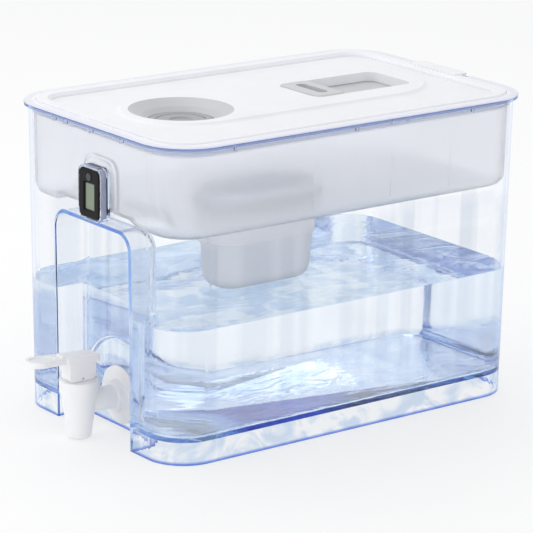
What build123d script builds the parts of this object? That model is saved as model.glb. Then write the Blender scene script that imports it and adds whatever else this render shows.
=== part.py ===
from build123d import *

import math
import os

# A countertop gravity water filter. A frosted reservoir hangs in the mouth of a clear tank.
# Water poured through the lid runs down through the filter cartridge into the tank, and
# leaves by a lever tap in a niche at one end. A small indicator with one button and a
# display sits above the niche.
#
# Millimetres. The origin is the centre of the tank's foot on the ground, +Z is up, the tap
# faces -Y and the tank is long along Y.

# ---- Tank -------------------------------------------------------------------------------
rim_length = 360.0
rim_width = 230.0
rim_corner = 40.0
rim_top = 249.5
lip_reach = 3.6
lip_thickness = 2.2
wall_lean = 3.65  # how far each wall leans in between the rim and the ground
wall = 2.5
floor_top = 20.8
floor_thickness = 2.8
floor_round = 5.0
gusset_thickness = 1.6
gusset_height = 3.2
end_gussets = [-46.0, -30.0, 5.0, 46.0]  # X places under the lip of both ends
side_gussets = [-121.0, -5.0, 112.0]  # Y places under the lip of both long sides

# Niche for the tap, in the -Y end
niche_half_width = 50.5
niche_drop = 5.3  # from the reservoir's bottom down to the niche's top
niche_shoulder = 14.0
niche_back = -149.0
niche_round = 8.0
niche_edge_round = 0.6
pocket_radius = 47.0
pocket_depth = 3.0
pocket_slope = 45.0
below_ground = 30.0
sump_half_width = 18.0  # dropped part of the floor behind the tap's nut
sump_margin = 6.0  # past the end of the spigot
sump_floor = 10.0
sump_round = 5.0

# ---- Reservoir --------------------------------------------------------------------------
hang_gap = 2.1  # between the tank's inner wall and the reservoir
reservoir_wall = 2.2
reservoir_depth = 73.2  # from the rim down
reservoir_floor = 2.5
reservoir_round = 9.0
flange_thickness = 1.3
flange_setback = 0.4
flange_round = 0.8
collar_height = 7.6  # the thicker band under the flange
collar_gap = 0.6
cell_depth = 1.4
cell_height = 6.4
cell_rib = 1.3
side_cell_ribs = [-63.5, -46.5, 32.0, 49.0]
mouth_depth = 3.4  # the rebate that the lid sits in
mouth_margin = 1.0  # how far the rebate cuts into the wall
seat_width = 1.7
bead_height = 3.0
wall_rib_thickness = 1.2
wall_rib_reach = 0.7
wall_ribs = [-41.6, 34.8, 94.4]

# Raised channel in the reservoir's underside, over the niche
channel_half_width = 46.0
channel_height = 7.7
channel_slope_width = 16.0
channel_back = -140.0
channel_round = 3.0

# ---- Filter -----------------------------------------------------------------------------
filter_x = 24.0
filter_y = -33.0
well_length = 101.6
well_width = 49.6
well_wall = 1.2
well_depth = 28.7  # from the reservoir's bottom down
well_flange_reach = 5.0
well_flange_thickness = 2.0
well_gasket_thickness = 1.0
well_gap = 0.3
lug_reach = 4.0
lug_width = 8.0
lug_height = 4.5
cartridge_gap = 0.35
cartridge_depth = 67.3  # from the reservoir's bottom down
cartridge_wall = 1.4
cartridge_draft = 5.0
cartridge_round = 11.0
cartridge_floor = 1.8
cartridge_flange_reach = 3.2
cartridge_flange_thickness = 2.0
seal_thickness = 1.2
seal_width = 2.6
screen_thickness = 0.8
media_gap = 0.3
resin_height = 27.0
carbon_height = 33.0
cap_height = 3.4
cap_wall = 1.4
cap_slot_width = 2.2
cap_slot_length = 10.0
cap_slot_count = 8
cap_slot_pitch = 7.0
handle_length = 30.0
handle_width = 6.0
handle_height = 8.4
handle_bar = 2.2
outlet_width = 2.4
outlet_length = 22.0
outlet_count = 6
outlet_pitch = 9.0

# ---- Lid --------------------------------------------------------------------------------
lid_gap = 0.4
lid_rise = 2.5  # above the tank's rim
lid_rim = 11.0
lid_step = 3.5  # from the lid's rim down to its panel
lid_sheet = 2.0
lid_step_slope = 32.0
lid_step_round = 1.2
lid_foot_round = 5.0
lid_edge_round = 0.8
skirt_depth = 7.0
skirt_thickness = 1.8
skirt_gap = 0.5
plateau_rise = 2.2  # above the panel
plateau_half_width = 52.0
plateau_front = -139.5
plateau_back = 143.0
plateau_slope = 40.0
plateau_round = 1.2
plateau_foot_round = 4.0
port_y = -90.5
port_mouth_radius = 41.5
port_mouth_depth = 4.9
port_radius = 30.9  # where the mouth's slope meets the throat
port_edge_round = 0.8
port_throat_radius = 26.3
port_ledge_width = 3.3
port_ledge_thickness = 1.5
port_depth = 10.0  # from the panel down
port_wall = 1.8
tray_half_width = 27.25
tray_front = 23.0
tray_back = 122.0
tray_corner = 8.0
tray_depth = 7.7
tray_wall = 2.0
tab_half_width = 29.0
tab_rise = 0.8  # above the lid's rim
tab_thickness = 1.6
tab_reach = 9.6
tab_corner = 4.0
tab_notch_margin = 5.0

# Refill door
door_gap = 0.3
door_sheet = 2.0
door_overlap = 3.2  # how far the door runs under the tray's walls at each side
door_end_overlap = 1.8
door_travel = 40.0
rail_thickness = 1.6
rail_lip = 4.2
grip_front = 24.0
grip_length = 29.0
grip_rise = 0.9
grip_gap = 0.4
grip_corner = 6.0
grip_round = 1.4
grip_slot_length = 36.0
grip_slot_width = 9.0
grip_slot_depth = 6.0
grip_wall = 2.0

# Port cap
port_cap_gap = 0.5
port_cap_thickness = 2.3
port_cap_groove_radius = 19.5
port_cap_groove_width = 1.2
port_cap_groove_depth = 0.5
port_cap_dimple_radius = 9.5
port_cap_dimple_depth = 1.1

# ---- Tap --------------------------------------------------------------------------------
tap_height = 27.5
tap_reach = 40.3  # from the pocket's wall to the valve's axis
spigot_radius = 8.0
spigot_bore = 5.2
spigot_length = 19.0
spigot_gap = 0.3
thread_pitch = 2.5
thread_depth = 0.6
thread_turns = 5
tap_gasket_thickness = 1.2
tap_gasket_radius = 14.0
tap_flange_radius = 23.5
tap_flange_edge = 1.8
tap_flange_dish = 5.0
tap_collar_radius = 12.6
tap_collar_length = 3.4
tap_tube_radius = 9.3
barrel_bottom = 1.2
barrel_bottom_radius = 9.6
barrel_top = 36.9
barrel_top_radius = 14.0
barrel_neck_radius = 12.2
barrel_neck_gap = 0.1  # under the bonnet's plate
nozzle_bore = 6.6
nozzle_edge_round = 1.0
seat_height = 20.0
seat_thickness = 2.0
seat_bore = 5.0
chamber_radius = 9.0
bonnet_top = 47.6
bonnet_top_radius = 15.9
bonnet_foot_radius = 15.3
bonnet_rim = 2.9
bonnet_round = 0.7
bonnet_plate_top = 46.8
bonnet_plate_thickness = 1.6
bonnet_gap = 0.15
stem_radius = 2.5
stem_gap = 0.08
plug_radius = 7.4
plug_height = 5.0
plug_cone = 1.8
plug_socket_depth = 3.0
spring_radius = 4.6
spring_wire = 0.5
spring_turns = 5
tap_nut_across = 25.0
tap_nut_height = 7.0

# Lever: its hub's rounded front corner rolls on the bonnet's plate
hub_width = 12.0
hub_length = 25.6
hub_corner = 5.0
hub_edge_round = 1.2
hub_lift = 0.1
hub_slot_width = 6.4
hub_slot_length = 12.0
rock_angle = 15.0
pin_height = 2.4
pin_radius = 1.0
pin_gap = 0.06
pin_play = 0.2  # what is left at each end of the stem's slot
head_wall = 1.1
head_lift = 0.3
head_clearance = 0.4  # between the stem's head and the hub's slot
lever_top = 67.9  # over the valve's axis
lever_slope = 3.0  # the lever rises towards its tip
lever_thickness = 5.0
lever_rear_reach = 14.6
lever_rear_width = 17.0
lever_rear_corner = 1.5
lever_shoulder = 16.2
lever_edge_round = 0.7
paddle_reach = 38.0
paddle_radius = 10.2
paddle_neck = 15.4
paddle_round = 1.4
dish_reach = 34.0
dish_length = 22.6
dish_width = 14.6
dish_depth = 0.9
panel_length = 22.0
panel_width = 9.0
panel_rise = 0.7

# ---- Indicator --------------------------------------------------------------------------
indicator_x = 7.0
indicator_rise = 20.8  # from the reservoir's bottom up to the middle
indicator_face_y = -181.6
indicator_width = 27.0
indicator_height = 38.6
indicator_corner = 4.6
holder_clearance = 0.35
holder_wall = 1.6
holder_setback = 0.9  # the holder's edge stands this far behind the face
holder_depth = 9.8
holder_foot_height = 3.0
recess_clearance = 4.5
recess_depth = 2.4
face_thickness = 1.6
face_round = 0.9
case_wall = 1.2
case_depth = 7.2
window_width = 15.2
window_height = 23.0
window_drop = 2.6
window_bevel = 1.1
button_rise = 13.1
button_radius = 3.2
button_gap = 0.3
button_proud = 0.5
button_round = 0.25
button_travel = 0.6
button_flange = 0.7
button_flange_thickness = 0.4
button_flange_gap = 0.1
button_ring_radius = 4.1
button_ring_depth = 0.35
display_width = 13.6
display_height = 22.6
board_thickness = 0.8
board_margin = 0.4
board_setback = 3.4
switch_size = 4.4
switch_gap = 0.1  # left under a pressed button
cell_radius = 8.0
cell_thickness = 2.0
cell_round = 0.3
clip_thickness = 0.3
clip_width = 5.0
clip_gap = 0.1
cover_radius = 9.4
cover_gap = 0.1
cover_ledge = 1.2
cover_thickness = 0.7
coin_slot_width = 1.6
coin_slot_depth = 0.3

level = 0.01  # heights closer than this are taken as one when edges are picked

# ---- Values that follow from the ones above ---------------------------------------------
lean = wall_lean / rim_top
lean_angle = math.degrees(math.atan(lean))
reservoir_inset = wall + hang_gap
flange_top = rim_top + flange_thickness
mouth_bottom = flange_top - mouth_depth
reservoir_bottom = rim_top - reservoir_depth
niche_top = reservoir_bottom - niche_drop
well_bottom = reservoir_bottom - well_depth
cartridge_bottom = reservoir_bottom - cartridge_depth
lid_top = rim_top + lid_rise
lid_panel_top = lid_top - lid_step
plateau_top = lid_panel_top + plateau_rise
tab_top = lid_top + tab_rise
indicator_z = reservoir_bottom + indicator_rise
tap_wall = niche_back + pocket_depth  # the front of the wall that carries the tap
tap_y = tap_wall - tap_reach
spigot_end = tap_wall + spigot_length
bonnet_plate_bottom = bonnet_plate_top - bonnet_plate_thickness
barrel_neck_top = bonnet_plate_bottom - barrel_neck_gap


def plan(height, inset=0.0):
    """Width, length and corner radius of the tank's outline at a height, moved inwards."""
    step = lip_reach + wall_lean - height * lean + inset
    return rim_width - 2 * step, rim_length - 2 * step, rim_corner - step


def half_length(height, inset=0.0):
    """Distance from the middle to an end wall's outline at a height."""
    return plan(height, inset)[1] / 2


def half_width(height, inset=0.0):
    """Distance from the middle to a side wall's outline at a height."""
    return plan(height, inset)[0] / 2


def walls(bottom, top, inset):
    """A solid that follows the tank's leaning walls from one height to another."""
    with BuildPart() as block:
        with BuildSketch(Plane.XY.offset(bottom)):
            RectangleRounded(*plan(bottom, inset))
        extrude(amount=top - bottom, taper=-lean_angle)
    return block


def facing_back(y):
    """Upright plane at a y, with X to the left, Z up, and its normal along +Y."""
    return Plane(origin=(0, y, 0), x_dir=(-1, 0, 0), z_dir=(0, 1, 0))


def facing_front(y):
    """Upright plane at a y, with X to the right, Z up, and its normal along -Y."""
    return Plane(origin=(0, y, 0), x_dir=(1, 0, 0), z_dir=(0, -1, 0))


def finish(part, name):
    """Label a finished piece and write its file."""
    part.label = name
    export_step(part, f"parts/{name}.step")


os.makedirs("parts", exist_ok=True)


# ---- Tank -------------------------------------------------------------------------------
def niche_block(skin):
    """The tap's niche as a solid, grown by the thickness of a skin around it."""
    with BuildPart() as block:
        with BuildSketch(facing_front(niche_back + skin)) as outline:
            with Locations((0, niche_top + skin)):
                Rectangle(
                    2 * (niche_half_width + skin),
                    niche_top + skin + below_ground,
                    align=(Align.CENTER, Align.MAX),
                )
            fillet(outline.vertices().group_by(Axis.Y)[-1], niche_shoulder + skin)
        extrude(amount=rim_length / 2 + niche_back + skin)
        fillet(block.edges().group_by(Axis.Y)[-1], niche_round + skin)
        # The arched pocket in the back wall, around the tap
        arch_radius = pocket_radius + skin * math.tan(math.radians(pocket_slope / 2))
        with BuildSketch(facing_back(niche_back + skin)):
            with Locations((0, tap_height)):
                Circle(arch_radius)
                Rectangle(2 * arch_radius, tap_height + below_ground, align=(Align.CENTER, Align.MAX))
        extrude(amount=pocket_depth, taper=pocket_slope)
    return block.part


def sump_block(skin):
    """The dropped part of the floor behind the niche as a solid, grown by a skin."""
    with BuildPart() as block:
        with BuildSketch(Plane.XY.offset(sump_floor - skin)):
            with Locations((0, niche_back)):
                Rectangle(
                    2 * (sump_half_width + skin),
                    spigot_end + sump_margin + skin - niche_back,
                    align=(Align.CENTER, Align.MIN),
                )
        extrude(amount=floor_top + skin - sump_floor)
        fillet(block.edges().filter_by(Axis.Z).group_by(Axis.Y)[-1], sump_round + skin)
    return block.part


with BuildPart() as tank_room:
    add(walls(floor_top, flange_top, wall).part)
    fillet(tank_room.edges().group_by(Axis.Z)[0], floor_round)
    add(sump_block(0))
    add(niche_block(wall), mode=Mode.SUBTRACT)

with BuildPart() as skirt_room:
    add(walls(-wall, floor_top - floor_thickness, wall).part)
    add(sump_block(floor_thickness), mode=Mode.SUBTRACT)
    add(niche_block(wall), mode=Mode.SUBTRACT)

holder_width = indicator_width + 2 * (holder_clearance + holder_wall)
holder_height = indicator_height + 2 * (holder_clearance + holder_wall)
holder_corner = indicator_corner + holder_clearance + holder_wall
holder_front = indicator_face_y + holder_setback
holder_back = holder_front + holder_depth

with BuildPart() as tank:
    add(walls(0, rim_top, 0).part)
    with BuildSketch(Plane.XY.offset(rim_top - lip_thickness)):
        RectangleRounded(rim_width, rim_length, rim_corner)
    extrude(amount=lip_thickness)
    # Small gussets under the lip
    gusset_reach = 2 * (lip_reach - flange_setback)
    with BuildSketch(Plane.XY.offset(rim_top - lip_thickness)):
        for side in (-1, 1):
            end_face = side * half_length(rim_top)
            side_face = side * half_width(rim_top)
            with Locations([(x, end_face) for x in end_gussets]):
                Rectangle(gusset_thickness, gusset_reach)
            with Locations([(side_face, y) for y in side_gussets]):
                Rectangle(gusset_reach, gusset_thickness)
    extrude(amount=-gusset_height)
    add(tank_room.part, mode=Mode.SUBTRACT)
    add(skirt_room.part, mode=Mode.SUBTRACT)
    add(niche_block(0), mode=Mode.SUBTRACT)
    # Soften the outer edge of the niche
    arch_edges = [
        edge
        for edge in tank.edges()
        if edge.center().Y < -half_length(0, wall)
        and abs(edge.center().X) < niche_half_width + wall / 2
        and edge.center().Z < niche_top + wall / 2
    ]
    fillet(arch_edges, niche_edge_round)
    # Hole for the tap, and the window that the indicator's holder stands in
    with BuildSketch(facing_back(niche_back)):
        with Locations((0, tap_height)):
            Circle(spigot_radius + spigot_gap)
    extrude(amount=pocket_depth + 2 * wall, mode=Mode.SUBTRACT)
    with BuildSketch(facing_front(holder_back)):
        with Locations((indicator_x, indicator_z)):
            RectangleRounded(holder_width, holder_height, holder_corner)
    extrude(amount=holder_depth, mode=Mode.SUBTRACT)

finish(tank.part, "tank")


# ---- Reservoir --------------------------------------------------------------------------
def channel_block(skin):
    """The raised channel over the niche as a solid, grown by a skin above it."""
    slope_turn = 2 * math.degrees(math.atan(channel_height / channel_slope_width))
    slope_radius = channel_slope_width / 2 / math.sin(math.radians(slope_turn))
    # Half of the slope's thickness comes from moving it sideways
    shift = skin * math.tan(math.radians(slope_turn / 2))
    top = reservoir_bottom + channel_height + skin
    with BuildPart() as block:
        with BuildSketch(facing_front(channel_back + skin)):
            with BuildLine():
                roof = Line((0, top), (channel_half_width + shift, top))
                upper = JernArc(start=roof @ 1, tangent=(1, 0), radius=slope_radius, arc_size=-slope_turn)
                lower = JernArc(start=upper @ 1, tangent=upper % 1, radius=slope_radius, arc_size=slope_turn)
                corner = (lower @ 1).X
                Line(lower @ 1, (corner, reservoir_bottom - channel_height))
                Line((corner, reservoir_bottom - channel_height), (0, reservoir_bottom - channel_height))
                mirror(about=Plane.YZ)
            make_face()
        extrude(amount=rim_length / 2 + channel_back + skin)
        fillet(block.edges().group_by(Axis.Y)[-1].group_by(Axis.Z)[-1], channel_round)
    return block.part


def recess_block(skin):
    """The recess behind the indicator's holder as a solid, grown by a skin."""
    outer = half_length(indicator_z, reservoir_inset)
    with BuildPart() as block:
        with BuildSketch(facing_front(-outer + recess_depth + skin)):
            with Locations((indicator_x, indicator_z)):
                RectangleRounded(
                    holder_width + 2 * (recess_clearance + skin),
                    holder_height + 2 * (recess_clearance + skin),
                    holder_corner + recess_clearance,
                )
        extrude(amount=recess_depth + skin + rim_length / 2 - outer)
    return block.part


inner_inset = reservoir_inset + reservoir_wall
mouth_inset = inner_inset - mouth_margin
bead_inset = mouth_inset + seat_width
reservoir_inside = reservoir_bottom + reservoir_floor

with BuildPart() as reservoir_room:
    add(walls(reservoir_inside, mouth_bottom - bead_height, inner_inset).part)
    fillet(reservoir_room.edges().group_by(Axis.Z)[0], reservoir_round - reservoir_wall)
    add(walls(mouth_bottom - bead_height, mouth_bottom, bead_inset).part)
    add(walls(mouth_bottom, flange_top + lip_thickness, mouth_inset).part)
    add(channel_block(reservoir_floor), mode=Mode.SUBTRACT)
    add(recess_block(reservoir_wall), mode=Mode.SUBTRACT)

collar_bottom = rim_top - collar_height

# Shallow cells around the band under the flange, parted by ribs
with BuildPart() as band_cells:
    add(walls(rim_top - cell_height, rim_top, 0).part)
    add(walls(rim_top - cell_height, rim_top, wall + collar_gap + cell_depth).part, mode=Mode.SUBTRACT)
    with BuildSketch(Plane.XY.offset(rim_top - cell_height)):
        with Locations([(0, y) for y in side_cell_ribs]):
            Rectangle(rim_width, cell_rib)
    extrude(amount=cell_height, mode=Mode.SUBTRACT)


def slot_sketch(length, width):
    """An oblong outline with round ends, long along Y, about the filter's axis."""
    with Locations((filter_x, filter_y)):
        SlotOverall(length, width, rotation=90)


notch_half_width = tab_half_width + tab_notch_margin
collar_face = half_length(rim_top, wall + collar_gap)

with BuildPart() as reservoir:
    add(walls(reservoir_bottom, rim_top, reservoir_inset).part)
    fillet(reservoir.edges().group_by(Axis.Z)[0], reservoir_round)
    add(walls(collar_bottom, rim_top, wall + collar_gap).part)
    # Thin upright ribs on both long sides
    rib_bottom = reservoir_bottom + reservoir_round
    with BuildSketch(Plane.XY.offset(rib_bottom)):
        with Locations([(0, y) for y in wall_ribs]):
            Rectangle(2 * (half_width(rib_bottom, reservoir_inset) + wall_rib_reach), wall_rib_thickness)
    extrude(amount=collar_bottom - rib_bottom)
    with BuildSketch(Plane.XY.offset(rim_top)):
        RectangleRounded(
            rim_width - 2 * flange_setback, rim_length - 2 * flange_setback, rim_corner - flange_setback
        )
    extrude(amount=flange_thickness)
    fillet(reservoir.edges().group_by(Axis.Z)[-1], flange_round)
    add(channel_block(0), mode=Mode.SUBTRACT)
    add(recess_block(0), mode=Mode.SUBTRACT)
    add(band_cells.part, mode=Mode.SUBTRACT)
    add(reservoir_room.part, mode=Mode.SUBTRACT)
    # Notch in the flange for the lid's lifting tab
    with BuildSketch(Plane.XY.offset(rim_top)):
        with Locations((0, collar_face)):
            Rectangle(2 * notch_half_width, rim_length, align=(Align.CENTER, Align.MIN))
    extrude(amount=2 * flange_thickness, mode=Mode.SUBTRACT)
    # Slot in the floor for the filter's well
    with BuildSketch(Plane.XY.offset(reservoir_bottom)):
        slot_sketch(well_length + 2 * well_gap, well_width + 2 * well_gap)
    extrude(amount=2 * reservoir_floor, mode=Mode.SUBTRACT)

finish(reservoir.part, "reservoir")

# ---- Filter -----------------------------------------------------------------------------
well_seat = reservoir_inside + well_gasket_thickness
well_top = well_seat + well_flange_thickness

with BuildPart() as well_gasket:
    with BuildSketch(Plane.XY.offset(reservoir_inside)):
        slot_sketch(well_length + 2 * well_flange_reach, well_width + 2 * well_flange_reach)
        with Locations((filter_x, filter_y)):
            SlotOverall(
                well_length + 4 * well_gap, well_width + 4 * well_gap, rotation=90, mode=Mode.SUBTRACT
            )
    extrude(amount=well_gasket_thickness)

finish(well_gasket.part, "well_gasket")

with BuildPart() as filter_well:
    with BuildSketch(Plane.XY.offset(well_bottom)):
        slot_sketch(well_length, well_width)
    extrude(amount=well_top - well_bottom)
    with BuildSketch(Plane.XY.offset(well_seat)):
        slot_sketch(well_length + 2 * well_flange_reach, well_width + 2 * well_flange_reach)
    extrude(amount=well_flange_thickness)
    # Snap lugs near the well's lower edge, at both ends
    with BuildSketch(Plane.XY.offset(well_bottom)):
        with Locations((filter_x, filter_y)):
            Rectangle(lug_width, well_length + 2 * lug_reach)
    extrude(amount=lug_height)
    lug_tips = filter_well.edges().filter_by(Axis.X).filter_by(
        lambda edge: abs(edge.center().Y - filter_y) > well_length / 2 + lug_reach / 2
    )
    chamfer(lug_tips.group_by(Axis.Z)[0], lug_reach / 2)
    with BuildSketch(Plane.XY.offset(well_bottom)):
        slot_sketch(well_length - 2 * well_wall, well_width - 2 * well_wall)
    extrude(amount=well_top - well_bottom, mode=Mode.SUBTRACT)

finish(filter_well.part, "filter_well")

cartridge_length = well_length - 2 * (well_wall + cartridge_gap)
cartridge_width = well_width - 2 * (well_wall + cartridge_gap)
cartridge_seat = well_top + seal_thickness
cartridge_top = cartridge_seat + cartridge_flange_thickness
cartridge_flange_length = cartridge_length + 2 * cartridge_flange_reach
cartridge_flange_width = cartridge_width + 2 * cartridge_flange_reach
inner_length = cartridge_length - 2 * cartridge_wall
inner_width = cartridge_width - 2 * cartridge_wall

with BuildPart() as filter_seal:
    with BuildSketch(Plane.XY.offset(well_top)):
        slot_sketch(cartridge_flange_length, cartridge_flange_width)
        with Locations((filter_x, filter_y)):
            SlotOverall(
                cartridge_length + 2 * (cartridge_flange_reach - seal_width),
                cartridge_width + 2 * (cartridge_flange_reach - seal_width),
                rotation=90,
                mode=Mode.SUBTRACT,
            )
    extrude(amount=seal_thickness)

finish(filter_seal.part, "filter_seal")


def cup_block(length, width, bottom, corner):
    """The cartridge's tub as a solid: upright inside the well, drafted and rounded below it."""
    with BuildPart() as block:
        with BuildSketch(Plane.XY.offset(well_bottom)):
            slot_sketch(length, width)
        extrude(amount=bottom - well_bottom, taper=cartridge_draft)
        fillet(block.edges().group_by(Axis.Z)[0], corner)
        with BuildSketch(Plane.XY.offset(well_bottom)):
            slot_sketch(length, width)
        extrude(amount=cartridge_top - well_bottom)
    return block


cup_inside = cartridge_bottom + cartridge_floor

with BuildPart() as filter_shell:
    add(cup_block(cartridge_length, cartridge_width, cartridge_bottom, cartridge_round).part)
    with BuildSketch(Plane.XY.offset(cartridge_seat)):
        slot_sketch(cartridge_flange_length, cartridge_flange_width)
    extrude(amount=cartridge_flange_thickness)
    add(
        cup_block(inner_length, inner_width, cup_inside, cartridge_round - cartridge_wall).part,
        mode=Mode.SUBTRACT,
    )
    # Outlet slots through the bottom
    with BuildSketch(Plane.XY.offset(cartridge_bottom)):
        with Locations((filter_x, filter_y)):
            with GridLocations(0, outlet_pitch, 1, outlet_count):
                SlotOverall(outlet_length, outlet_width)
    extrude(amount=2 * cartridge_floor, mode=Mode.SUBTRACT)

finish(filter_shell.part, "filter_shell")


def bed(bottom, height):
    """One layer of the filter's filling, a little smaller than the tub's inside."""
    with BuildPart() as block:
        add(
            cup_block(
                inner_length - 2 * media_gap,
                inner_width - 2 * media_gap,
                cup_inside + media_gap,
                cartridge_round - cartridge_wall,
            ).part
        )
        with BuildSketch(Plane.XY.offset(bottom)):
            slot_sketch(well_length, well_width)
        extrude(amount=height, mode=Mode.INTERSECT)
    return block.part


lower_screen_bottom = cup_inside + media_gap
resin_bottom = lower_screen_bottom + screen_thickness
felt_bottom = resin_bottom + resin_height
carbon_bottom = felt_bottom + screen_thickness
upper_screen_bottom = carbon_bottom + carbon_height

finish(bed(lower_screen_bottom, screen_thickness), "lower_screen")
finish(bed(resin_bottom, resin_height), "resin_bed")
finish(bed(felt_bottom, screen_thickness), "middle_screen")
finish(bed(carbon_bottom, carbon_height), "carbon_bed")
finish(bed(upper_screen_bottom, screen_thickness), "upper_screen")

# Cap welded on the tub, with inlet slots and a bow handle
cap_length = cartridge_length + 2 * (cartridge_flange_reach - cap_wall)
cap_width = cartridge_width + 2 * (cartridge_flange_reach - cap_wall)
cap_top = cartridge_top + cap_height

with BuildPart() as filter_cap:
    with BuildSketch(Plane.XY.offset(cartridge_top)):
        slot_sketch(cap_length, cap_width)
    extrude(amount=cap_height)
    fillet(filter_cap.edges().group_by(Axis.Z)[-1], cap_wall)
    with BuildSketch(Plane.XY.offset(cartridge_top)):
        slot_sketch(cap_length - 2 * cap_wall, cap_width - 2 * cap_wall)
    extrude(amount=cap_height - cap_wall, mode=Mode.SUBTRACT)
    with BuildSketch(Plane.XY.offset(cap_top - 2 * cap_wall)):
        slot_offset = cap_width / 4 + cap_slot_length / 8
        with Locations((filter_x - slot_offset, filter_y), (filter_x + slot_offset, filter_y)):
            with GridLocations(0, cap_slot_pitch, 1, cap_slot_count):
                SlotOverall(cap_slot_length, cap_slot_width)
    extrude(amount=4 * cap_wall, mode=Mode.SUBTRACT)
    with BuildSketch(Plane.YZ.offset(filter_x)):
        with Locations((filter_y, cap_top)):
            Rectangle(handle_length, handle_height, align=(Align.CENTER, Align.MIN))
            Rectangle(
                handle_length - 2 * handle_bar,
                handle_height - handle_bar,
                align=(Align.CENTER, Align.MIN),
                mode=Mode.SUBTRACT,
            )
    extrude(amount=handle_width / 2, both=True)

finish(filter_cap.part, "filter_cap")

# ---- Lid --------------------------------------------------------------------------------
lid_width, lid_length, lid_corner = plan(mouth_bottom, mouth_inset + lid_gap)
skirt_inset = bead_inset + skirt_gap
skirt_bottom = mouth_bottom - skirt_depth
port_floor = lid_panel_top - port_depth
port_ledge_top = port_floor + port_ledge_thickness
port_throat_bottom = port_ledge_top + port_cap_thickness
port_mouth_bottom = plateau_top - port_mouth_depth
port_throat_depth = port_mouth_bottom - port_throat_bottom
port_mouth_slope = math.degrees(math.atan((port_mouth_radius - port_radius) / port_mouth_depth))
port_throat_slope = math.degrees(math.atan((port_radius - port_throat_radius) / port_throat_depth))
tray_floor = plateau_top - tray_depth
tray_length = tray_back - tray_front
tray_middle = (tray_back + tray_front) / 2
door_top = tray_floor - door_gap
door_bottom = door_top - door_sheet
rail_top = lid_panel_top - lid_sheet
rail_bottom = door_bottom - door_gap - rail_thickness
door_half_width = tray_half_width + door_overlap
rail_inner = door_half_width + door_gap


def lid_plate(inset, bottom, top, slope=0.0):
    """A slab with the lid's outline moved inwards, widening upwards by a slope."""
    with BuildPart() as block:
        with BuildSketch(Plane.XY.offset(bottom)):
            RectangleRounded(lid_width - 2 * inset, lid_length - 2 * inset, lid_corner - inset)
        extrude(amount=top - bottom, taper=-slope)
    return block.part


def plateau_sketch(inset):
    """The plateau's outline: straight sides along Y and round ends."""
    middle = (plateau_front + plateau_back) / 2
    with Locations((0, middle)):
        SlotOverall(
            plateau_back - plateau_front - 2 * inset,
            2 * (plateau_half_width - inset),
            rotation=90,
        )


def level_edges(part, height):
    """The edges of a part that lie level at a height."""
    return part.edges().filter_by_position(Axis.Z, height - level, height + level).filter_by(
        lambda edge: edge.bounding_box().size.Z < level
    )


def tray_sketch(skin):
    """The refill tray's outline, grown by a skin."""
    with Locations((0, tray_middle)):
        RectangleRounded(2 * (tray_half_width + skin), tray_length + 2 * skin, tray_corner + skin)


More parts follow.
